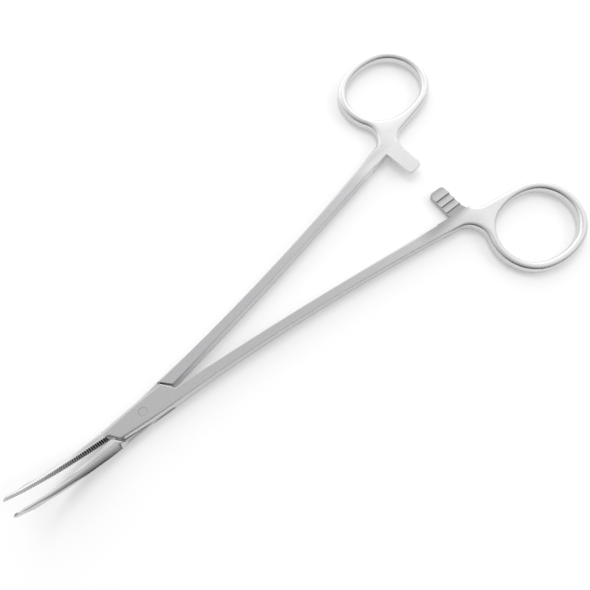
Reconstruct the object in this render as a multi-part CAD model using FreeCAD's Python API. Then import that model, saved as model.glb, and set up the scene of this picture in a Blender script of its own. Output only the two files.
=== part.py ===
import FreeCAD, Part

import math
import os

# Curved haemostatic forceps with a box lock: two forged halves on one flush rivet.
# Millimetres and degrees. The pivot is on the Z axis, the underside of the lock is z = 0,
# the finger rings point to +X, and the tongue half has its ring on the +Y side.
# Each half is drawn closed, with the jaws' mating plane at y = 0, then turned out.

# Overall
rest_half_angle = 3.3
body_height = 5.3
mid_z = body_height / 2.0

# Clearances
shoulder_gap = 0.08
tongue_side_gap = 0.08
tongue_face_gap = 0.05
pin_running_gap = 0.03
pin_press = 0.01
closed_gap = 0.10

# How far cutting and trimming shapes reach past what they cut
beyond_side = 9.0
beyond_end = 1.0
slot_beyond_end = 6.0
slot_beyond_side = 4.0

# Box lock, half-widths of its flat faces and how far the sides swell past them
lock_front_x = -12.0
lock_back_x = 12.0
lock_flat_front = 1.95
lock_flat_pivot = 3.05
lock_flat_back = 3.55
lock_swell_front = 1.05
lock_swell_back = 0.60
edge_outer_x = 7.2
edge_outer_y = 4.9
edge_inner_x = 10.9
slot_wall_outer_x = 7.3
slot_wall_outer_y = 4.4
slot_wall_inner_x = 10.4
tongue_height = 1.75
tongue_root = 1.0
pin_radius = 1.25
pin_recess = 0.03
pin_chamfer = 0.12

# Jaws, along u = 0 at the lock to 1 at the tip
jaw_length = 26.4
jaw_lean = 4.6
jaw_curl = 8.35
jaw_curl_power = 3.2
jaw_tip_half_height = 1.05
jaw_tip_half_width = 0.85
jaw_tip_swell = 0.20
jaw_bow = 0.22
jaw_root_shift = 0.35
tip_round = 1.0
tip_blunt = 0.55

# Serrations across the jaws' inner faces
serration_pitch = 0.65
serration_depth = 0.22
serration_land = 0.12
serration_start = 0.5
serration_end_margin = 0.5

# Shank: x, inner edge and outer edge of the flat top face, swell inside and outside
shank_stations = [
    (22.0, 0.74, 3.86, 0.22, 0.50),
    (45.0, 2.42, 5.20, 0.36, 0.42),
    (75.0, 5.18, 8.00, 0.36, 0.42),
    (100.0, 7.80, 11.20, 0.36, 0.42),
    (113.5, 9.35, 13.05, 0.51, 0.72),
]
shank_end_half_height = 1.90
shank_end_mid_z = 2.25

# Finger ring, an oval of four arcs, and its band, rounded above and bevelled underneath
ring_x = 131.6
ring_y = 27.7
ring_half_length = 15.55
ring_half_width = 12.95
ring_end_inset = 0.5
ring_end_radius = ring_half_width - ring_end_inset
ring_end_reach = ring_half_length - ring_end_radius
ring_side_radius = (ring_half_width + ring_end_radius + ring_end_reach ** 2 / ring_end_inset) / 2.0
band_half_width = 1.42
rim_round = 1.2
under_bevel = 0.85

# Head, where shank, ring and ratchet arm flow together
head_half_height = 1.92
head_overlap = 7.5
head_tuck = 0.1
crotch_radius = 6.0
arm_root_drop = 1.93
arm_root_radius = 6.5

# Ratchet arm
arm_inner_x = 112.1
arm_outer_x = 117.8
arm_reach = 1.85
arm_root_y = 10.2
arm_corner_radius = 1.3
arm_overlap_z = 2.6
arm_bottom_z = 0.85
arm_pad_gap = 0.7
tooth_height = 0.55
tooth_first_y = 1.5
tooth_pitch = 2.5
tooth_ramp = 1.2
tooth_back = 0.25
tooth_count = 3


def bezier_side(bottom, middle, top):
    curve = Part.BezierCurve()
    curve.setPoles([bottom, middle, top])
    return curve.toShape()


def barrel_wire(centre, tilt, y_low, y_high, swell_low, swell_high, half_height):
    """Section with a flat top and bottom and two swelled sides, tilted about Y."""
    up = FreeCAD.Vector(math.sin(tilt), 0.0, math.cos(tilt))
    low = FreeCAD.Vector(0.0, y_low, 0.0)
    high = FreeCAD.Vector(0.0, y_high, 0.0)
    swell_low_by = FreeCAD.Vector(0.0, -2.0 * swell_low, 0.0)
    swell_high_by = FreeCAD.Vector(0.0, 2.0 * swell_high, 0.0)
    rise = up * half_height
    top = Part.makeLine(centre + low + rise, centre + high + rise)
    bottom = Part.makeLine(centre + high - rise, centre + low - rise)
    side_high = bezier_side(centre + high + rise, centre + high + swell_high_by, centre + high - rise)
    side_low = bezier_side(centre + low - rise, centre + low + swell_low_by, centre + low + rise)
    return Part.Wire([top, side_high, bottom, side_low])


def lock_swell(x):
    share = (x - lock_front_x) / (lock_back_x - lock_front_x)
    return lock_swell_front + (lock_swell_back - lock_swell_front) * share


def lock_envelope():
    wires = []
    for x, flat in ((lock_front_x, lock_flat_front), (0.0, lock_flat_pivot), (lock_back_x, lock_flat_back)):
        swell = lock_swell(x)
        centre = FreeCAD.Vector(x, 0.0, mid_z)
        wires.append(barrel_wire(centre, 0.0, -flat, flat, swell, swell, mid_z))
    return Part.makeLoft(wires, True, False)


def jaw_centre(u):
    x = lock_front_x - jaw_length * u
    z = mid_z + jaw_lean * u + jaw_curl * u ** jaw_curl_power
    return FreeCAD.Vector(x, 0.0, z)


def jaw_tilt(u):
    rise = jaw_lean + jaw_curl * jaw_curl_power * u ** (jaw_curl_power - 1.0)
    return math.atan(rise / jaw_length)


def tip_factor(u):
    """Rounds the last stretch of the jaws down to a blunt tip."""
    left = min(1.0, (1.0 - u) * jaw_length / tip_round)
    return tip_blunt + (1.0 - tip_blunt) * math.sqrt(1.0 - (1.0 - left) ** 2)


def jaw_half_height(u):
    full = jaw_tip_half_height + (mid_z - jaw_tip_half_height) * (1.0 - u * u)
    return full * tip_factor(u)


def jaw_half_width(u):
    root = lock_flat_front + lock_swell_front
    return (root + (jaw_tip_half_width - root) * u) * tip_factor(u)


def jaw_swell(u):
    return jaw_tip_swell + (lock_swell_front - jaw_tip_swell) * (1.0 - u) ** 2.5


def jaw_envelope():
    """Both jaws together, closed, curving up from the lock."""
    wires = []
    for u in (0.0, 0.2, 0.4, 0.6, 0.78, 0.9, 0.96, 0.985, 1.0):
        tilt = jaw_tilt(u) if u > 0.0 else 0.0
        swell = jaw_swell(u)
        flat = jaw_half_width(u) - swell
        wires.append(barrel_wire(jaw_centre(u), tilt, -flat, flat, swell, swell, jaw_half_height(u)))
    return Part.makeLoft(wires, True, False)


def plan_prism(points, bottom, top):
    corners = [FreeCAD.Vector(x, y, bottom) for x, y in points]
    face = Part.Face(Part.makePolygon(corners + corners[:1]))
    return face.extrude(FreeCAD.Vector(0.0, 0.0, top - bottom))


def closing_y(x):
    """The closed jaws meet at the tips at y = 0 and a little to the +Y side at the lock."""
    return jaw_root_shift * (1.0 - min(1.0, (lock_front_x - x) / jaw_length))


def bow_at(x):
    """Distance of a mating face from the line on which the closed jaws meet."""
    tip_x = lock_front_x - jaw_length
    middle_x = (lock_front_x + tip_x) / 2.0
    half_span = (lock_front_x - tip_x) / 2.0
    share = (x - middle_x) / half_span
    return closed_gap / 2.0 + jaw_bow * max(0.0, 1.0 - share * share)


def mating_y(x, side):
    return closing_y(x) * side + bow_at(x)


def mating_wall(side):
    """All beyond a jaw's slightly bowed mating face, for the jaw on +Y (side 1) or -Y (side -1).

    The jaw on -Y is drawn mirrored, so both walls lie on the +Y side.
    """
    tip_x = lock_front_x - jaw_length
    far_x = tip_x - beyond_end
    near_x = lock_front_x + beyond_end
    floor_z = -beyond_end
    top_z = body_height + jaw_lean + jaw_curl + beyond_end
    bowed = [FreeCAD.Vector(tip_x + jaw_length * i / 8.0, 0.0, floor_z) for i in range(9)]
    for point in bowed:
        point.y = mating_y(point.x, side)
    curve = Part.BSplineCurve()
    curve.interpolate(bowed)
    root_y = bowed[-1].y
    tip_y = bowed[0].y
    corners = [
        FreeCAD.Vector(near_x, root_y, floor_z), FreeCAD.Vector(near_x, beyond_side, floor_z),
        FreeCAD.Vector(far_x, beyond_side, floor_z), FreeCAD.Vector(far_x, tip_y, floor_z),
    ]
    chain = [bowed[-1]] + corners + [bowed[0]]
    edges = [curve.toShape()] + [Part.makeLine(a, b) for a, b in zip(chain, chain[1:])]
    return Part.Face(Part.Wire(edges)).extrude(FreeCAD.Vector(0.0, 0.0, top_z - floor_z))


def full_height(region):
    """The lock's envelope over one region of its plan."""
    return lock_envelope().common(plan_prism(region, -beyond_end, body_height + beyond_end))


def edge_offset(gap):
    """Shift in X that moves the slanting cheek edge outwards by gap."""
    run = edge_inner_x - edge_outer_x
    return gap * math.hypot(run, edge_outer_y) / edge_outer_y


def edge_point(drop, shift):
    """Point on the front cheek edge, moved forwards by shift, at y = -drop."""
    slope = (edge_inner_x - edge_outer_x) / edge_outer_y
    return (-edge_inner_x + slope * drop - shift, -drop)


def cheek_region():
    """Plan of the box half in the lock: all between the two slanting cheek edges."""
    half_gap = closed_gap / 2.0
    root_y = mating_y(lock_front_x, 1)
    back = [
        (edge_outer_x, edge_outer_y), (edge_inner_x, -half_gap),
        (lock_back_x, -half_gap), (lock_back_x, -beyond_side),
    ]
    front = [
        (-edge_outer_x, -edge_outer_y), edge_point(-root_y, 0.0),
        (lock_front_x, root_y), (lock_front_x, beyond_side),
    ]
    return back + front


def back_shoulder_region():
    """Plan of the tongue half's full-height shoulder on the shank side."""
    half_gap = closed_gap / 2.0
    shift = edge_offset(shoulder_gap)
    return [
        (edge_outer_x + shift, edge_outer_y), (edge_inner_x + shift, half_gap),
        (lock_back_x, half_gap), (lock_back_x, beyond_side), (edge_outer_x + shift, beyond_side),
    ]


def front_shoulder_region():
    """Plan of the tongue half's full-height shoulder on the jaw side."""
    shift = edge_offset(shoulder_gap)
    root_y = -mating_y(lock_front_x, -1)
    return [
        (-edge_outer_x - shift, -edge_outer_y), edge_point(-root_y, shift),
        (lock_front_x, root_y), (lock_front_x, -beyond_side), (-edge_outer_x - shift, -beyond_side),
    ]


def serration_cutter(u, side):
    """Wedge across a jaw's mating face at u, square to the jaw's curve."""
    centre = jaw_centre(u)
    tilt = jaw_tilt(u)
    along = FreeCAD.Vector(-math.cos(tilt), 0.0, math.sin(tilt))
    up = FreeCAD.Vector(math.sin(tilt), 0.0, math.cos(tilt))
    reach = jaw_half_height(u) + beyond_end
    proud = 0.05
    half_width = (serration_pitch - serration_land) / 2.0
    slack = half_width * (serration_depth + proud) / serration_depth
    mouth = centre - up * reach + FreeCAD.Vector(0.0, mating_y(centre.x, side) - proud, 0.0)
    bottom = mouth + FreeCAD.Vector(0.0, serration_depth + proud, 0.0)
    outline = Part.makePolygon([mouth - along * slack, bottom, mouth + along * slack, mouth - along * slack])
    return Part.Face(outline).extrude(up * (2.0 * reach))


def serration_cutters(first_shift, side):
    """Evenly spaced wedges from the lock to just short of the tip."""
    samples = 600
    points = [jaw_centre(i / samples) for i in range(samples + 1)]
    travelled = [0.0]
    for a, b in zip(points, points[1:]):
        travelled.append(travelled[-1] + (b - a).Length)
    cutters = []
    wanted = serration_start + first_shift
    for i in range(samples):
        if travelled[i] >= wanted and travelled[i] <= travelled[-1] - serration_end_margin:
            cutters.append(serration_cutter(i / samples, side))
            wanted += serration_pitch
    return Part.makeCompound(cutters)


def jaw_half(first_shift, side):
    """One serrated jaw, from the lock's front edge to the tip, drawn on the +Y side."""
    jaw = jaw_envelope().common(mating_wall(side))
    return jaw.cut(serration_cutters(first_shift, side))


def shank_centre(share):
    return mid_z + (shank_end_mid_z - mid_z) * share


def shank_half_height(share):
    return mid_z + (shank_end_half_height - mid_z) * share


def shank():
    start = FreeCAD.Vector(lock_back_x, 0.0, mid_z)
    wires = [barrel_wire(start, 0.0, closed_gap / 2.0, lock_flat_back, 0.0, lock_swell_back, mid_z)]
    last_x = shank_stations[-1][0]
    for x, inner, outer, swell_inner, swell_outer in shank_stations:
        share = (x - lock_back_x) / (last_x - lock_back_x)
        centre = FreeCAD.Vector(x, 0.0, shank_centre(share))
        half_height = shank_half_height(share)
        wires.append(barrel_wire(centre, 0.0, inner, outer, swell_inner, swell_outer, half_height))
    return Part.makeLoft(wires, True, False)


def arc_edge(centre, start, end):
    """The shorter arc about centre from start to end."""
    middle = (start - centre) + (end - centre)
    middle.normalize()
    return Part.Arc(start, centre + middle * (start - centre).Length, end).toShape()


def arc_edges(shape):
    return [edge for edge in shape.Edges if isinstance(edge.Curve, Part.Circle)]


def first_touch(start, direction, centre, distance):
    """First point along a line that lies at the given distance from centre."""
    offset = start - centre
    back = offset.dot(direction)
    return start - direction * (back + math.sqrt(back ** 2 - offset.dot(offset) + distance ** 2))


def oval_centres():
    """Centres of the ring's near, far, outer and inner arcs."""
    middle = FreeCAD.Vector(ring_x, ring_y, 0.0)
    along = FreeCAD.Vector(ring_end_reach, 0.0, 0.0)
    aside = FreeCAD.Vector(0.0, ring_side_radius - ring_half_width, 0.0)
    return middle - along, middle + along, middle - aside, middle + aside


def oval_joint(side_centre, end_centre, offset):
    """Point where a long arc and an end arc of the ring meet, offset outwards from the middle line."""
    outwards = end_centre - side_centre
    outwards.normalize()
    return end_centre + outwards * (ring_end_radius + offset)


def finger_opening():
    near, far, outer, inner = oval_centres()
    joints = [oval_joint(side, end, -band_half_width) for side, end in
              ((outer, near), (outer, far), (inner, far), (inner, near))]
    arcs = [
        arc_edge(outer, joints[0], joints[1]), arc_edge(far, joints[1], joints[2]),
        arc_edge(inner, joints[2], joints[3]), arc_edge(near, joints[3], joints[0]),
    ]
    return Part.Wire(arcs)


def shank_line(edge, swell, side):
    """Start and direction of the line on which the shank's inner (side -1) or outer side meets the ring."""
    before, last = shank_stations[-2:]
    start = FreeCAD.Vector(before[0], before[edge] + side * before[swell], 0.0)
    end = FreeCAD.Vector(last[0], last[edge] + side * (last[swell] - head_tuck), 0.0)
    direction = end - start
    direction.normalize()
    return end - direction * head_overlap, direction


def root_corner():
    """Corner between ratchet arm and ring, before it is rounded."""
    return FreeCAD.Vector(arm_outer_x, ring_y - ring_half_width - band_half_width - arm_root_drop, 0.0)


def ring_touch():
    """Point where the straight line from that corner runs into the ring's inner arc."""
    centre = oval_centres()[-1]
    radius = ring_side_radius + band_half_width
    away = root_corner() - centre
    lean = math.atan2(away.y, away.x) + math.acos(radius / away.Length)
    return centre + FreeCAD.Vector(math.cos(lean), math.sin(lean), 0.0) * radius


def arm_root():
    """Centre of the arc that rounds that corner, and its ends on the ring's side and on the arm's."""
    corner = root_corner()
    to_ring = ring_touch() - corner
    to_ring.normalize()
    to_arm = FreeCAD.Vector(0.0, -1.0, 0.0)
    half_angle = to_ring.getAngle(to_arm) / 2.0
    leg = arm_root_radius / math.tan(half_angle)
    middle = to_ring + to_arm
    middle.normalize()
    centre = corner + middle * (arm_root_radius / math.sin(half_angle))
    return centre, corner + to_ring * leg, corner + to_arm * leg


def step_point():
    """Point where the shank's inner side runs into the arm's root."""
    start, inwards = shank_line(1, 3, -1.0)
    return first_touch(start, inwards, arm_root()[0], arm_root_radius)


def head():
    """Finger ring and the gusset that carries it, in one plate with its upper rims rounded."""
    near, far, outer, inner = oval_centres()
    shank_outer, outwards = shank_line(2, 4, 1.0)
    shank_inner = shank_line(1, 3, -1.0)[0]
    normal = FreeCAD.Vector(-outwards.y, outwards.x, 0.0)
    end_radius = ring_end_radius + band_half_width
    crotch = first_touch(shank_outer + normal * crotch_radius, outwards, near, end_radius + crotch_radius)
    shank_end = crotch - normal * crotch_radius
    ring_start = near + (crotch - near) * (end_radius / (end_radius + crotch_radius))
    joints = [oval_joint(side, end, band_half_width) for side, end in
              ((outer, near), (outer, far), (inner, far))]
    root_centre, root_start, _ = arm_root()
    touch = ring_touch()
    step = step_point()
    edges = [
        Part.makeLine(shank_outer, shank_end), arc_edge(crotch, shank_end, ring_start),
        arc_edge(near, ring_start, joints[0]), arc_edge(outer, joints[0], joints[1]),
        arc_edge(far, joints[1], joints[2]), arc_edge(inner, joints[2], touch),
        Part.makeLine(touch, root_start), arc_edge(root_centre, root_start, step),
        Part.makeLine(step, shank_inner), Part.makeLine(shank_inner, shank_outer),
    ]
    plan = Part.Face(Part.Wire(edges)).cut(Part.Face(finger_opening()))
    plan.translate(FreeCAD.Vector(0.0, 0.0, shank_end_mid_z - head_half_height))
    plate = plan.extrude(FreeCAD.Vector(0.0, 0.0, 2.0 * head_half_height))
    upper = [edge for edge in arc_edges(plate) if edge.CenterOfMass.z > mid_z]
    plate = plate.makeFillet(rim_round, upper)
    floor_z = plate.BoundBox.ZMin + 0.01
    lower = [edge for edge in arc_edges(plate) if edge.CenterOfMass.z < floor_z]
    return plate.makeChamfer(under_bevel, lower)


def arm_plan():
    """Rounded plan of a ratchet arm reaching across to the other half, flared where it leaves the head."""
    centre, _, root_end = arm_root()
    step = step_point()
    corners = [
        root_end, FreeCAD.Vector(arm_outer_x, -arm_reach, 0.0), FreeCAD.Vector(arm_inner_x, -arm_reach, 0.0),
        FreeCAD.Vector(arm_inner_x, arm_root_y, 0.0), FreeCAD.Vector(step.x, arm_root_y, 0.0), step,
    ]
    edges = [Part.makeLine(a, b) for a, b in zip(corners, corners[1:])]
    edges.append(arc_edge(centre, step, root_end))
    plan = Part.Face(Part.Wire(edges))
    block = plan.extrude(FreeCAD.Vector(0.0, 0.0, body_height))
    ends = [edge for edge in block.Edges
            if edge.CenterOfMass.y < 0.0 and abs(edge.CenterOfMass.z - mid_z) < 0.01]
    return block.makeFillet(arm_corner_radius, ends)


def arm(top_z):
    """Arm of the tongue half: plain top, pad and teeth underneath."""
    root_z = arm_overlap_z + arm_pad_gap / 2.0
    crest_z = root_z - tooth_height
    profile = [(arm_root_y, top_z), (arm_root_y, root_z)]
    for number in range(tooth_count, 0, -1):
        crest_y = tooth_first_y + tooth_pitch * (number - 1)
        profile.append((crest_y + tooth_back, root_z))
        profile.append((crest_y, crest_z))
        profile.append((crest_y - tooth_ramp, root_z))
    profile.append((-arm_reach - beyond_end, root_z))
    profile.append((-arm_reach - beyond_end, top_z))
    corners = [FreeCAD.Vector(arm_inner_x - beyond_end, y, z) for y, z in profile]
    face = Part.Face(Part.makePolygon(corners + corners[:1]))
    bar = face.extrude(FreeCAD.Vector(ring_x - arm_inner_x, 0.0, 0.0))
    return bar.common(arm_plan())


def lower_arm():
    """Arm of the box half: the same arm turned over, teeth on top."""
    other = arm(2.0 * arm_overlap_z - arm_bottom_z)
    centre = FreeCAD.Vector(0.0, 0.0, arm_overlap_z)
    other.rotate(centre, FreeCAD.Vector(1.0, 0.0, 0.0), 180.0)
    return other


def handle():
    return shank().fuse(head())


def turned(shape, degrees):
    shape.rotate(FreeCAD.Vector(0.0, 0.0, 0.0), FreeCAD.Vector(0.0, 0.0, 1.0), degrees)
    return shape


def slot_side(gap, inner_y):
    """Plan of the slot's end wall on the shank side, moved inwards by gap, as far as y = inner_y."""
    run = slot_wall_inner_x - slot_wall_outer_x
    shift = gap * math.hypot(run, slot_wall_outer_y) / slot_wall_outer_y
    slope = run / slot_wall_outer_y
    outer = (slot_wall_outer_x - slope * slot_beyond_side - shift, -slot_wall_outer_y - slot_beyond_side)
    inner = (slot_wall_inner_x + slope * inner_y - shift, inner_y)
    return [outer, inner]


def slot_cutter():
    inner_y = -closed_gap / 2.0
    end_x = slot_wall_inner_x + slot_beyond_end
    side = slot_side(0.0, inner_y) + [(end_x, inner_y), (end_x, beyond_side)]
    points = side + [(-x, -y) for x, y in side]
    half = tongue_height / 2.0 + tongue_face_gap
    return plan_prism(points, mid_z - half, mid_z + half)


def tongue():
    """Thin bar through the slot, running into both full-height shoulders."""
    inner_y = closed_gap / 2.0
    root = [(edge_inner_x + tongue_root, inner_y), (edge_outer_x + tongue_root, edge_outer_y)]
    side = slot_side(tongue_side_gap, inner_y) + root
    points = side + [(-x, -y) for x, y in side]
    half = tongue_height / 2.0
    return lock_envelope().common(plan_prism(points, mid_z - half, mid_z + half))


def pin():
    radius = pin_radius
    height = body_height - 2.0 * pin_recess
    body = Part.makeCylinder(radius, height, FreeCAD.Vector(0.0, 0.0, pin_recess))
    rims = [e for e in body.Edges if abs(e.Length - 2.0 * math.pi * radius) < 0.01]
    return body.makeChamfer(pin_chamfer, rims)


def across(shape):
    """The same shape on the other side of the closing plane."""
    return shape.mirror(FreeCAD.Vector(0.0, 0.0, 0.0), FreeCAD.Vector(0.0, 1.0, 0.0))


def box_half():
    """Half with the slotted box: ring on -Y, jaw on +Y."""
    lock = full_height(cheek_region())
    body = lock.fuse([jaw_half(0.0, 1), across(handle()), lower_arm()])
    below = FreeCAD.Vector(0.0, 0.0, -beyond_end)
    hole = Part.makeCylinder(pin_radius - pin_press, body_height + 2.0 * beyond_end, below)
    return body.cut([slot_cutter(), hole])


def tongue_half():
    """Half with the tongue: ring on +Y, jaw on -Y."""
    back = full_height(back_shoulder_region())
    front = full_height(front_shoulder_region())
    upper_arm = arm(shank_end_mid_z + head_half_height)
    jaw = across(jaw_half(serration_pitch / 2.0, -1))
    body = tongue().fuse([back, front, handle(), upper_arm, jaw])
    hole = Part.makeCylinder(pin_radius + pin_running_gap, body_height)
    return body.cut(hole)


def main():
    os.makedirs("parts", exist_ok=True)
    turned(box_half(), -rest_half_angle).exportStep("parts/box_half.step")
    turned(tongue_half(), rest_half_angle).exportStep("parts/tongue_half.step")
    pin().exportStep("parts/pivot_pin.step")


main()
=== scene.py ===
import math

import bpy
import numpy as np
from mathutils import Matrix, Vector


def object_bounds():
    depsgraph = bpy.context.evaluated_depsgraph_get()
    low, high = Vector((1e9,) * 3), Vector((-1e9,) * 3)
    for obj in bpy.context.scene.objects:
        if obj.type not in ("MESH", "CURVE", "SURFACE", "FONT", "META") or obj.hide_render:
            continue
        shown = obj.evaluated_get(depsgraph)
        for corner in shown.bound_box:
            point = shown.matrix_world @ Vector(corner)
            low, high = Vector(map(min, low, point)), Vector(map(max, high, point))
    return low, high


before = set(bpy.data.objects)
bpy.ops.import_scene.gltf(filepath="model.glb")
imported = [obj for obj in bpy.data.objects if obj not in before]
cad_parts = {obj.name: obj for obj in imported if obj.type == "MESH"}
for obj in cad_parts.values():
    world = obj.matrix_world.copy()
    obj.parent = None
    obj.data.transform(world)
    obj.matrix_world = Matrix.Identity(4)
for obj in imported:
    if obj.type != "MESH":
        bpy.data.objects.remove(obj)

cad_low, cad_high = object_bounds()


# The two forged halves: stainless steel, each one piece from finger ring to jaw tip.
# They are ground and then brushed along their length, and their rings and webs are painted lighter as
# painted sheen.
# Their edges are broken, least along the shanks and most on the lock.

# A pair in brackets is a range over which one value eases into the next.
STEEL = (0.60, 0.60, 0.61)
# Painted sheen: the rings, webs and the tongue half's arm are coloured lighter than the shanks, for the
# brighter reflection there.
PAINTED_SHEEN_STEEL = (0.75, 0.75, 0.755)
PAINTED_SHEEN_FROM = (0.105, 0.119)
SHANK_ROUGHNESS = 0.28
ROUGHNESS_SPREAD = 0.05
GRAIN_LENGTH = 0.012
GRAIN_WIDTH = 0.00022
GRAIN_DETAIL = 3.0
SCRATCH_STRENGTH = 0.10
SCRATCH_HEIGHT = 0.00001
LOCK_EDGE_RADIUS = 0.0010
SHANK_EDGE_RADIUS = 0.0004
SHANK_EDGE_FROM = (-0.014, 0.020)
RING_EDGE_RADIUS = 0.0008
RING_EDGE_FROM = (0.06, 0.10)
RIVET_RADIUS = 0.00125
AROUND_RIVET = (1.4 * RIVET_RADIUS, 2.0 * RIVET_RADIUS)
ARM_WITHIN = (0.018, 0.015)
ARM_FROM = (0.095, 0.105)


def worked(tree, operation, *values):
    """One step of arithmetic on plain numbers or on other nodes' outputs."""
    step = tree.nodes.new("ShaderNodeMath")
    step.operation = operation
    for socket, value in zip(step.inputs, values):
        if isinstance(value, float):
            socket.default_value = value
        else:
            tree.links.new(value, socket)
    return step.outputs["Value"]


def eased(tree, value, start, end, low=0.0, high=1.0):
    """Smooth step from low to high while the value goes from start up or down to end."""
    step = tree.nodes.new("ShaderNodeMapRange")
    step.interpolation_type = "SMOOTHSTEP"
    step.inputs["From Min"].default_value = start
    step.inputs["From Max"].default_value = end
    step.inputs["To Min"].default_value = low
    step.inputs["To Max"].default_value = high
    tree.links.new(value, step.inputs["Value"])
    return step.outputs["Result"]


def coordinates(tree, vector):
    """The x, y and z of a place or of a direction."""
    split = tree.nodes.new("ShaderNodeSeparateXYZ")
    tree.links.new(vector, split.inputs["Vector"])
    return split.outputs["X"], split.outputs["Y"], split.outputs["Z"]


def blended(tree, share, first, second):
    """Colour between two others, each a plain one or another node's output."""
    mix = tree.nodes.new("ShaderNodeMix")
    mix.data_type = "RGBA"
    tree.links.new(share, mix.inputs["Factor"])
    # The colours of a Mix node are its inputs 6 and 7 and its output 2.
    for socket, colour in ((mix.inputs[6], first), (mix.inputs[7], second)):
        if isinstance(colour, tuple):
            socket.default_value = (*colour, 1.0)
        else:
            tree.links.new(colour, socket)
    return mix.outputs[2]


def on_arm(tree, place):
    """One on the ratchet arms, which lie near the middle beside the rings, and zero elsewhere."""
    x, y = place[:2]
    inside = eased(tree, worked(tree, "ABSOLUTE", y), *ARM_WITHIN)
    return worked(tree, "MULTIPLY", inside, eased(tree, x, *ARM_FROM))


def edge_behind_jaws(tree, place, arm_edge):
    """Radius of the broken edges from the lock to the rings.

    It eases along x from the lock's to the shanks' and on to the rings'. On the ratchet arm only the
    share arm_edge of it is left, and round the rivet nothing.
    """
    x, y = place[:2]
    radius = eased(tree, x, *SHANK_EDGE_FROM, LOCK_EDGE_RADIUS, SHANK_EDGE_RADIUS)
    at_rings = eased(tree, x, *RING_EDGE_FROM, 0.0, RING_EDGE_RADIUS - SHANK_EDGE_RADIUS)
    radius = worked(tree, "ADD", radius, at_rings)
    left = worked(tree, "MULTIPLY_ADD", on_arm(tree, place), arm_edge - 1.0, 1.0)
    radius = worked(tree, "MULTIPLY", radius, left)
    square = worked(tree, "ADD", worked(tree, "MULTIPLY", x, x), worked(tree, "MULTIPLY", y, y))
    from_pivot = worked(tree, "SQRT", square)
    return worked(tree, "MULTIPLY", radius, eased(tree, from_pivot, *AROUND_RIVET))


def brushed_grain(tree, where):
    """Noise drawn out along x, for the fine scratches that lengthwise brushing leaves."""
    stretch = tree.nodes.new("ShaderNodeMapping")
    stretch.inputs["Scale"].default_value = (1.0 / GRAIN_LENGTH, 1.0 / GRAIN_WIDTH, 1.0 / GRAIN_WIDTH)
    tree.links.new(where, stretch.inputs["Vector"])
    grain = tree.nodes.new("ShaderNodeTexNoise")
    grain.inputs["Scale"].default_value = 1.0
    grain.inputs["Detail"].default_value = GRAIN_DETAIL
    tree.links.new(stretch.outputs["Vector"], grain.inputs["Vector"])
    return grain.outputs["Fac"]


# The jaws: part of the forgings, ground half round, polished finer and curving up to blunt tips.
# Their solids have flat tops and swelled sides, so the half round is shading alone.
# It follows the jaws' own curve, whose sizes in metres are these.

LOCK_FRONT = -0.012
JAW_LENGTH = 0.0264
JAW_ROOT_WIDTH = 0.0030
JAW_TIP_WIDTH = 0.00085
JAW_MIDDLE = 0.00265
JAW_TIP_HEIGHT = 0.00105
JAW_LEAN = 0.0046
JAW_CURL = 0.00835
JAW_CURL_POWER = 3.2
REST_LEAN = math.tan(math.radians(3.3))
JAW_ROUGHNESS = 0.17
SHANK_ROUGHNESS_FROM = (LOCK_FRONT - 0.004, LOCK_FRONT)
SERRATED_EDGE_RADIUS = 0.00003
JAW_EDGE_SHARE = 0.40
JAW_EDGE_FROM = (0.0, 0.08)
OUTER_EDGE_FROM = (0.05, 0.40)
SIDE_ROUNDNESS = 0.2
JAW_ROUNDNESS = 2.6
NEAR_SERRATED_FACE = (0.55, 0.25)
NEAR_LOCK = (0.55, 0.25)
UNDERSIDE_TO_TOP = (-0.6, -0.4)
SERRATED_TO_OUTER_FACE = (-0.5, -0.3)
BEHIND_TIP = (0.96, 0.90)
HALF_ROUND_EASE = 0.05


def along_jaw(tree, x):
    """Zero at the lock's front edge, one at the tip, and below zero inside the lock."""
    return worked(tree, "DIVIDE", worked(tree, "MULTIPLY_ADD", x, -1.0, LOCK_FRONT), JAW_LENGTH)


def from_meeting_plane(tree, place):
    """Distance from the plane on which the jaws meet, which leans by the rest angle."""
    x, y = place[:2]
    return worked(tree, "MULTIPLY_ADD", x, REST_LEAN, worked(tree, "ABSOLUTE", y))


def jaw_width(tree, along):
    """Width of one jaw from the meeting plane outwards, which shrinks evenly from lock to tip."""
    return worked(tree, "MULTIPLY_ADD", along, JAW_TIP_WIDTH - JAW_ROOT_WIDTH, JAW_ROOT_WIDTH)


def jaw_half_height(tree, along):
    """Half height of a jaw, which shrinks from lock to tip with the square of the way along."""
    square = worked(tree, "MULTIPLY", along, along)
    return worked(tree, "MULTIPLY_ADD", square, JAW_TIP_HEIGHT - JAW_MIDDLE, JAW_MIDDLE)


def jaw_middle(tree, along):
    """Height of the jaw's middle line: an even lean, and a curl that is a power of the way along."""
    curl = worked(tree, "POWER", worked(tree, "MAXIMUM", along, 0.0), JAW_CURL_POWER)
    leaning = worked(tree, "MULTIPLY_ADD", along, JAW_LEAN, JAW_MIDDLE)
    return worked(tree, "ADD", leaning, worked(tree, "MULTIPLY", curl, JAW_CURL))


def jaw_slope(tree, along):
    """Rise of that middle line per length."""
    curl = worked(tree, "POWER", worked(tree, "MAXIMUM", along, 0.0), JAW_CURL_POWER - 1.0)
    steep = worked(tree, "MULTIPLY", curl, JAW_CURL * JAW_CURL_POWER / JAW_LENGTH)
    return worked(tree, "ADD", steep, JAW_LEAN / JAW_LENGTH)


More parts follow.
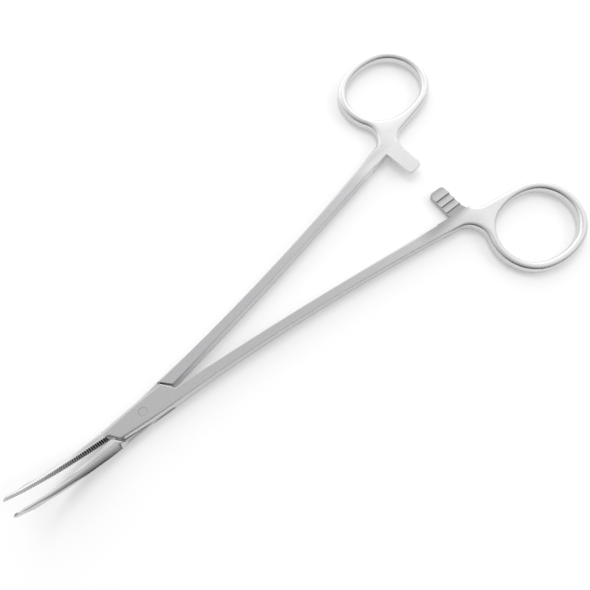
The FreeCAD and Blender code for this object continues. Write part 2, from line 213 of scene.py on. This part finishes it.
def edge_radius(tree, place, arm_edge):
    """Radius that breaks each edge.

    On the jaws it is a share of their width, except that the serrated edge stays sharp. Next to the lock
    it eases into the radius behind the jaws.
    """
    along = along_jaw(tree, place[0])
    width = jaw_width(tree, along)
    outwards = worked(tree, "DIVIDE", from_meeting_plane(tree, place), width)
    outer = eased(tree, outwards, *OUTER_EDGE_FROM)
    broken = worked(tree, "MULTIPLY", width, JAW_EDGE_SHARE)
    on_jaw = worked(tree, "MULTIPLY_ADD", outer, broken, SERRATED_EDGE_RADIUS)
    behind = edge_behind_jaws(tree, place, arm_edge)
    share = eased(tree, along, *JAW_EDGE_FROM)
    return worked(tree, "ADD", worked(tree, "MULTIPLY", share, on_jaw),
                  worked(tree, "MULTIPLY", worked(tree, "SUBTRACT", 1.0, share), behind))


def half_round(tree, place, facing, lean):
    """Normal of a jaw ground half round, like the quarter of an oval from its serrated face outwards.

    A point's share of the height and its share of the width, each raised to a power and divided by that
    size, give the upward and the sideways part. Upwards means square to the jaw's curve, and downwards on
    the underside. On the strip beside the serrated face, near the lock, lean adds to the sideways part:
    above zero that strip looks outwards, and below zero towards the other jaw.
    """
    x, y, z = place
    along = along_jaw(tree, x)
    width = jaw_width(tree, along)
    height = jaw_half_height(tree, along)
    slope = jaw_slope(tree, along)
    cosine = worked(tree, "COSINE", worked(tree, "ARCTANGENT", slope))
    above = worked(tree, "MULTIPLY", worked(tree, "SUBTRACT", z, jaw_middle(tree, along)), cosine)
    lift = worked(tree, "DIVIDE", above, height)
    from_below = worked(tree, "MAXIMUM", worked(tree, "MULTIPLY_ADD", lift, 0.5, 0.5), 0.0)
    rise = worked(tree, "POWER", from_below, SIDE_ROUNDNESS)
    rise = worked(tree, "MULTIPLY", rise, eased(tree, facing[2], *UNDERSIDE_TO_TOP, -1.0, 1.0))
    up = worked(tree, "MULTIPLY", worked(tree, "DIVIDE", rise, height), cosine)
    outwards = worked(tree, "DIVIDE", from_meeting_plane(tree, place), width)
    spread = worked(tree, "POWER", worked(tree, "MAXIMUM", outwards, 0.0), JAW_ROUNDNESS)
    strip = eased(tree, outwards, *NEAR_SERRATED_FACE)
    strip = worked(tree, "MULTIPLY", strip, eased(tree, along, *NEAR_LOCK))
    spread = worked(tree, "MULTIPLY_ADD", strip, lean, spread)
    side = worked(tree, "MULTIPLY", worked(tree, "DIVIDE", spread, width), worked(tree, "SIGN", y))
    joined = tree.nodes.new("ShaderNodeCombineXYZ")
    tree.links.new(worked(tree, "MULTIPLY", up, slope), joined.inputs["X"])
    tree.links.new(side, joined.inputs["Y"])
    tree.links.new(up, joined.inputs["Z"])
    turned = tree.nodes.new("ShaderNodeVectorTransform")
    turned.vector_type = "NORMAL"
    turned.convert_from = "OBJECT"
    turned.convert_to = "WORLD"
    tree.links.new(joined.outputs["Vector"], turned.inputs["Vector"])
    return turned.outputs["Vector"]


def shaded_normal(tree, place, facing, start, lean, broken):
    """Normal with broken edges, given in broken, that becomes the half round one on the jaws.

    The half round eases in from start, counted as along_jaw counts, so below zero it begins inside the
    lock. The serrated face and the blunt tip keep the first normal.
    """
    x, y = place[:2]
    along = along_jaw(tree, x)
    outwards = worked(tree, "MULTIPLY", facing[1], worked(tree, "SIGN", y))
    begun = eased(tree, along, start, start + HALF_ROUND_EASE)
    share = worked(tree, "MULTIPLY", eased(tree, outwards, *SERRATED_TO_OUTER_FACE), begun)
    share = worked(tree, "MULTIPLY", share, eased(tree, along, *BEHIND_TIP))
    mix = tree.nodes.new("ShaderNodeMix")
    mix.data_type = "VECTOR"
    tree.links.new(share, mix.inputs["Factor"])
    # The vectors of a Mix node are its inputs 4 and 5 and its output 1.
    tree.links.new(broken, mix.inputs[4])
    tree.links.new(half_round(tree, place, facing, lean), mix.inputs[5])
    even = tree.nodes.new("ShaderNodeVectorMath")
    even.operation = "NORMALIZE"
    tree.links.new(mix.outputs[1], even.inputs[0])
    return even.outputs["Vector"]


# The serrations: fine grooves cut across the face on which each jaw grips.
# Their dark colour is painted shade, for the shade held in the grooves and between the jaws, most at
# their bottoms and near the lock.

# Painted shade: the serrations' grooves and lands are coloured dark.
PAINTED_GROOVE_SHADE = (0.02, 0.02, 0.02)
JAW_GAP = 0.00005
JAW_BOW = 0.00022
JAW_ROOT_SHIFT = 0.00035
GROOVE_DEPTH = 0.00022
LAND_TO_BOTTOM = (0.1 * GROOVE_DEPTH, 0.6 * GROOVE_DEPTH)
WITHIN_GROOVES = (1.15 * GROOVE_DEPTH, 1.05 * GROOVE_DEPTH)
LAND_DARKNESS = 0.42
UPRIGHT_FACE = (0.8, 0.6)
SERRATED_FROM = (LOCK_FRONT, LOCK_FRONT - 0.0003)
SERRATED_WAY = (0.1, 0.9)
DARKNESS_AT_LOCK = 0.90
DARKNESS_AT_TIP = 0.35


def painted_groove_shade(tree, place, facing):
    """Share of painted shade: full at a groove's bottom, less on the lands, and none off the serrated
    face.

    That face bows away from the meeting plane by a parabola, and it is moved sideways, most at the lock,
    outwards on the jaw on +Y and inwards on the other. Depth is counted from there.
    """
    x, y = place[:2]
    along = along_jaw(tree, x)
    left = worked(tree, "SUBTRACT", 1.0, along)
    bow = worked(tree, "MULTIPLY_ADD", worked(tree, "MULTIPLY", along, left), 4.0 * JAW_BOW, JAW_GAP)
    shift = worked(tree, "MULTIPLY", left, JAW_ROOT_SHIFT)
    face = worked(tree, "ADD", bow, worked(tree, "MULTIPLY", shift, worked(tree, "SIGN", y)))
    depth = worked(tree, "SUBTRACT", from_meeting_plane(tree, place), face)
    sunk = eased(tree, depth, *LAND_TO_BOTTOM, LAND_DARKNESS, 1.0)
    upright = eased(tree, worked(tree, "ABSOLUTE", facing[2]), *UPRIGHT_FACE)
    inside = worked(tree, "MULTIPLY", eased(tree, depth, *WITHIN_GROOVES), upright)
    darkness = eased(tree, along, *SERRATED_WAY, DARKNESS_AT_LOCK, DARKNESS_AT_TIP)
    darkness = worked(tree, "MULTIPLY", eased(tree, x, *SERRATED_FROM), darkness)
    return worked(tree, "MULTIPLY", worked(tree, "MULTIPLY", sunk, inside), darkness)


# The box half: the forging with the slotted box of the lock and the lower ratchet arm.
# Its arm is painted darker than its ring, as painted shade from the upper arm over it, and the teeth
# milled into the top of it keep sharp edges.

BOX_JAW_START = -0.02
BOX_JAW_LEAN = 0.2
# Painted shade: the lower ratchet arm is coloured darker, for the shade of the upper arm over it.
LOWER_ARM_PAINTED_SHADE = (0.42, 0.42, 0.425)
LOWER_ARM_EDGE = 0.0
WHITE = (1.0, 1.0, 1.0)
EDGE_SAMPLES = 8
CREASE_ANGLE = math.radians(28.0)
WELD_DISTANCE = 1e-6


def steel_material(name, start, lean, painted_arm_steel, arm_edge):
    """Brushed steel of one half from ring to tip, whose gloss varies a little with its grain.

    start and lean place and tilt the half round of its jaw, painted_arm_steel is the colour of its
    ratchet arm, which is painted shade on the box half and painted sheen on the tongue half, and arm_edge
    the share of the edge radius that is left there.
    """
    material = bpy.data.materials.new(name)
    material.use_nodes = True
    tree = material.node_tree
    links = tree.links
    shader = tree.nodes["Principled BSDF"]
    shader.inputs["Metallic"].default_value = 1.0
    where = tree.nodes.new("ShaderNodeTexCoord")
    place = coordinates(tree, where.outputs["Object"])
    facing = coordinates(tree, where.outputs["Normal"])
    x = place[0]

    grain = brushed_grain(tree, where.outputs["Object"])
    roughness = eased(tree, x, *SHANK_ROUGHNESS_FROM, JAW_ROUGHNESS, SHANK_ROUGHNESS)
    spread = worked(tree, "SUBTRACT", grain, 0.5)
    roughness = worked(tree, "MULTIPLY_ADD", spread, 2.0 * ROUGHNESS_SPREAD, roughness)
    links.new(roughness, shader.inputs["Roughness"])

    rounding = tree.nodes.new("ShaderNodeBevel")
    rounding.samples = EDGE_SAMPLES
    links.new(edge_radius(tree, place, arm_edge), rounding.inputs["Radius"])
    normal = shaded_normal(tree, place, facing, start, lean, rounding.outputs["Normal"])
    scratches = tree.nodes.new("ShaderNodeBump")
    scratches.inputs["Strength"].default_value = SCRATCH_STRENGTH
    scratches.inputs["Distance"].default_value = SCRATCH_HEIGHT
    links.new(grain, scratches.inputs["Height"])
    links.new(normal, scratches.inputs["Normal"])
    links.new(scratches.outputs["Normal"], shader.inputs["Normal"])

    # Painted sheen: the rings and webs are coloured lighter.
    ground = blended(tree, eased(tree, x, *PAINTED_SHEEN_FROM), STEEL, PAINTED_SHEEN_STEEL)
    # Painted light on the ratchet arm: painted shade on the box half, painted sheen on the tongue half.
    ground = blended(tree, on_arm(tree, place), ground, painted_arm_steel)
    # Painted shade in the serrations, on their colour and on the tint of their reflection.
    groove_shade_share = painted_groove_shade(tree, place, facing)
    links.new(blended(tree, groove_shade_share, ground, PAINTED_GROOVE_SHADE), shader.inputs["Base Color"])
    links.new(blended(tree, groove_shade_share, WHITE, PAINTED_GROOVE_SHADE), shader.inputs["Specular Tint"])
    return material


def finish_node(node, material):
    """Gives a solid its material; its rounded faces shade smoothly, and only real edges stay crisp."""
    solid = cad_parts[node]
    solid.data.materials.clear()
    solid.data.materials.append(material)
    solid.data.polygons.foreach_set("use_smooth", np.ones(len(solid.data.polygons), dtype=bool))
    weld = solid.modifiers.new("weld", "WELD")
    weld.merge_threshold = WELD_DISTANCE
    split = solid.modifiers.new("crease", "EDGE_SPLIT")
    split.split_angle = CREASE_ANGLE


satin_steel = steel_material("satin_steel", BOX_JAW_START, BOX_JAW_LEAN, LOWER_ARM_PAINTED_SHADE, LOWER_ARM_EDGE)
finish_node("box_half", satin_steel)


# The tongue half: the forging with the tongue that is threaded through the box and the upper arm.
# Its arm is painted as light as its ring, as painted sheen, and the edges there are broken a little less.

TONGUE_JAW_START = -0.09
TONGUE_JAW_LEAN = -0.3
UPPER_ARM_EDGE = 0.6

tongue_steel = steel_material("satin_steel_tongue", TONGUE_JAW_START, TONGUE_JAW_LEAN, PAINTED_SHEEN_STEEL,
                              UPPER_ARM_EDGE)
finish_node("tongue_half", tongue_steel)


# The rivet: a steel pin through the lock, pressed into the box half and ground flush with it.
# It is brushed together with that half, so it has the same finish.

finish_node("pivot_pin", satin_steel)


# White paper under and around the forceps, larger than any view of them.
# Seen straight or in a mirror face it is lifted towards plain white, and it takes the soft shadows.

PAPER_REACH = 3.0
PAPER_DROP = 0.00002
PAPER_GREY = (0.93, 0.93, 0.93)
PAPER_ROUGHNESS = 0.9
PAPER_LIFT = 0.32


def paper_mesh(name):
    """Flat square a hair below the lowest point of the forceps."""
    reach = PAPER_REACH
    height = cad_low.z - PAPER_DROP
    corners = [(x * reach, y * reach, height) for x, y in ((-1, -1), (1, -1), (1, 1), (-1, 1))]
    mesh = bpy.data.meshes.new(name)
    mesh.from_pydata(corners, [], [(0, 1, 2, 3)])
    sheet = bpy.data.objects.new(name, mesh)
    bpy.context.scene.collection.objects.link(sheet)
    return sheet


def paper_material():
    """Matt white, lifted where the camera, a mirror face or glass looks straight at it."""
    material = bpy.data.materials.new("white_paper")
    material.use_nodes = True
    tree = material.node_tree
    nodes = tree.nodes
    links = tree.links
    shader = nodes["Principled BSDF"]
    shader.inputs["Base Color"].default_value = (*PAPER_GREY, 1.0)
    shader.inputs["Roughness"].default_value = PAPER_ROUGHNESS
    shader.inputs["Specular IOR Level"].default_value = 0.0
    seen = nodes.new("ShaderNodeLightPath")
    straight = worked(tree, "MAXIMUM", seen.outputs["Is Camera Ray"], seen.outputs["Is Glossy Ray"])
    straight = worked(tree, "MAXIMUM", straight, seen.outputs["Is Transmission Ray"])
    glow = nodes.new("ShaderNodeEmission")
    blend = nodes.new("ShaderNodeMixShader")
    links.new(worked(tree, "MULTIPLY", straight, PAPER_LIFT), blend.inputs["Fac"])
    links.new(shader.outputs["BSDF"], blend.inputs[1])
    links.new(glow.outputs["Emission"], blend.inputs[2])
    links.new(blend.outputs["Shader"], nodes["Material Output"].inputs["Surface"])
    return material


paper = paper_mesh("paper")
paper.data.materials.append(paper_material())


# The studio: a white tent, brightest far and high, with a glow on either flank and dark at the near side.
# The steel mirrors it, so its levels give the flats, bevels and rims their greys.
# Two soft boxes, one beyond the forceps and one to the right, throw the soft shadows.

CENTRE = (cad_low + cad_high) / 2.0
FAR_SIDE = (0.592, 0.671, 0.447)
# Each pair is a share of the way from the near to the far side, and the grey level there.
TENT_LEVELS = (
    (0.0, 0.02), (0.20, 0.03), (0.27, 0.26), (0.45, 0.50), (0.70, 0.74),
    (0.78, 0.77), (0.87, 0.78), (0.89, 0.80), (0.938, 0.96), (0.956, 1.50),
)
RIGHT_SIDE = (0.750, -0.662, 0.0)
RIGHT_GLOW = 0.36
RIGHT_GLOW_FROM = (0.15, 0.40)
LEFT_GLOW = 0.70
LEFT_GLOW_FROM = (-0.38, -0.60)
GLOW_FROM = (0.6, 0.85)
SOFT_BOX_SIZE = 0.42
FAR_BOX_PLACE = (0.20, 0.33, 0.96)
FAR_BOX_POWER = 2.75
RIGHT_BOX_PLACE = (0.75, -0.55, 0.75)
RIGHT_BOX_POWER = 2.05


def leaning(tree, direction, axis):
    """One where the direction points along the axis, minus one against it, and zero across it."""
    step = tree.nodes.new("ShaderNodeVectorMath")
    step.operation = "DOT_PRODUCT"
    tree.links.new(direction, step.inputs[0])
    step.inputs[1].default_value = axis
    return step.outputs["Value"]


def tent_world():
    """Grey level read from how far a direction leans to the far side, and a glow on either flank of it.

    The camera itself sees plain white.
    """
    world = bpy.data.worlds.new("tent")
    world.use_nodes = True
    tree = world.node_tree
    nodes = tree.nodes
    links = tree.links
    direction = nodes.new("ShaderNodeTexCoord").outputs["Generated"]
    far = worked(tree, "MULTIPLY_ADD", leaning(tree, direction, FAR_SIDE), 0.5, 0.5)
    ramp = nodes.new("ShaderNodeValToRGB")
    stops = ramp.color_ramp.elements
    while len(stops) < len(TENT_LEVELS):
        stops.new(0.5)
    for stop, (place, level) in zip(stops, TENT_LEVELS):
        stop.position = place
        stop.color = (level, level, level, 1.0)
    links.new(far, ramp.inputs["Fac"])
    aside = leaning(tree, direction, RIGHT_SIDE)
    right = eased(tree, aside, *RIGHT_GLOW_FROM, 0.0, RIGHT_GLOW)
    left = eased(tree, aside, *LEFT_GLOW_FROM, 0.0, LEFT_GLOW)
    glow = worked(tree, "MULTIPLY", worked(tree, "ADD", right, left), eased(tree, far, *GLOW_FROM))
    lit = nodes.new("ShaderNodeVectorMath")
    lit.operation = "ADD"
    links.new(ramp.outputs["Color"], lit.inputs[0])
    links.new(glow, lit.inputs[1])
    seen = nodes.new("ShaderNodeLightPath")
    shown = blended(tree, seen.outputs["Is Camera Ray"], lit.outputs["Vector"], WHITE)
    links.new(shown, nodes["Background"].inputs["Color"])
    return world


def soft_box(name, place, power):
    """Square lamp turned to the middle of the forceps. Mirror faces don't show it."""
    light = bpy.data.lights.new(name, "AREA")
    light.shape = "SQUARE"
    light.size = SOFT_BOX_SIZE
    light.energy = power
    holder = bpy.data.objects.new(name, light)
    holder.location = place
    holder.rotation_mode = "QUATERNION"
    holder.rotation_quaternion = (Vector(place) - CENTRE).to_track_quat("Z", "Y")
    holder.visible_glossy = False
    bpy.context.scene.collection.objects.link(holder)


bpy.context.scene.world = tent_world()
soft_box("far_soft_box", FAR_BOX_PLACE, FAR_BOX_POWER)
soft_box("right_soft_box", RIGHT_BOX_PLACE, RIGHT_BOX_POWER)
bpy.context.scene.view_settings.view_transform = "Standard"


# The camera of the photograph, high above the lock and a little to its -Y side.
# It looks steeply down towards the rings; its place, aim and lens were worked out from the picture.

CAMERA_PLACE = (0.016594, -0.046054, 0.169786)
CAMERA_AIM = (0.056541, -0.000851, 0.0)
CAMERA_LENS = 35.206
CAMERA_SENSOR = 36.0
CAMERA_CLIP_START = 0.005

camera_data = bpy.data.cameras.new("photo_camera")
camera_data.lens = CAMERA_LENS
camera_data.sensor_width = CAMERA_SENSOR
camera_data.clip_start = CAMERA_CLIP_START
camera = bpy.data.objects.new("photo_camera", camera_data)
camera.location = CAMERA_PLACE
camera.rotation_mode = "QUATERNION"
camera.rotation_quaternion = (Vector(CAMERA_PLACE) - Vector(CAMERA_AIM)).to_track_quat("Z", "Y")
bpy.context.scene.collection.objects.link(camera)
bpy.context.scene.camera = camera
